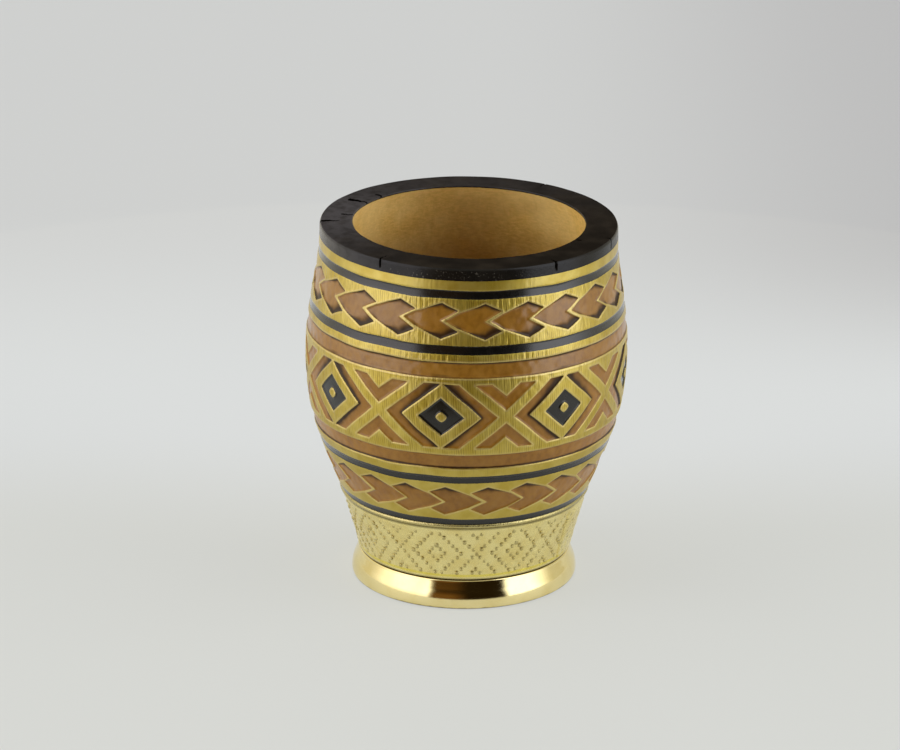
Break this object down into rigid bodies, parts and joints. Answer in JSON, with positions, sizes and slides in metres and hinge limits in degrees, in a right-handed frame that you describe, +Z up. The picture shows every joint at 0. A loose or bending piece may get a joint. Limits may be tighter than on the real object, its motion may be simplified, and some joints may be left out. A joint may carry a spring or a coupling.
{
  "type": "mate gourd cup",
  "caption": "Empty carved mate gourd with a thick black rim, gilt bands of diamonds and darts, an embossed metal collar and a polished flared foot.",
  "frame": {"origin": "centre of the foot's underside, on the surface that the cup stands on", "axes": "+Z up through the mouth, -Y towards the side that the picture shows, +X to that view's right"},
  "size_m": [0.0799, 0.0799, 0.0922],
  "materials": {
    "carved_gourd": "dried gourd skin carved in low relief, bare brown in the cuts, gilt and black lacquer on what stands",
    "embossed_metal": "satin, with rows of punched dots",
    "polished_metal": "polished"
  },
  "bodies": {
    "root": {"gourd": "carved_gourd", "collar": "embossed_metal", "foot": "polished_metal"}
  },
  "joints": []
}
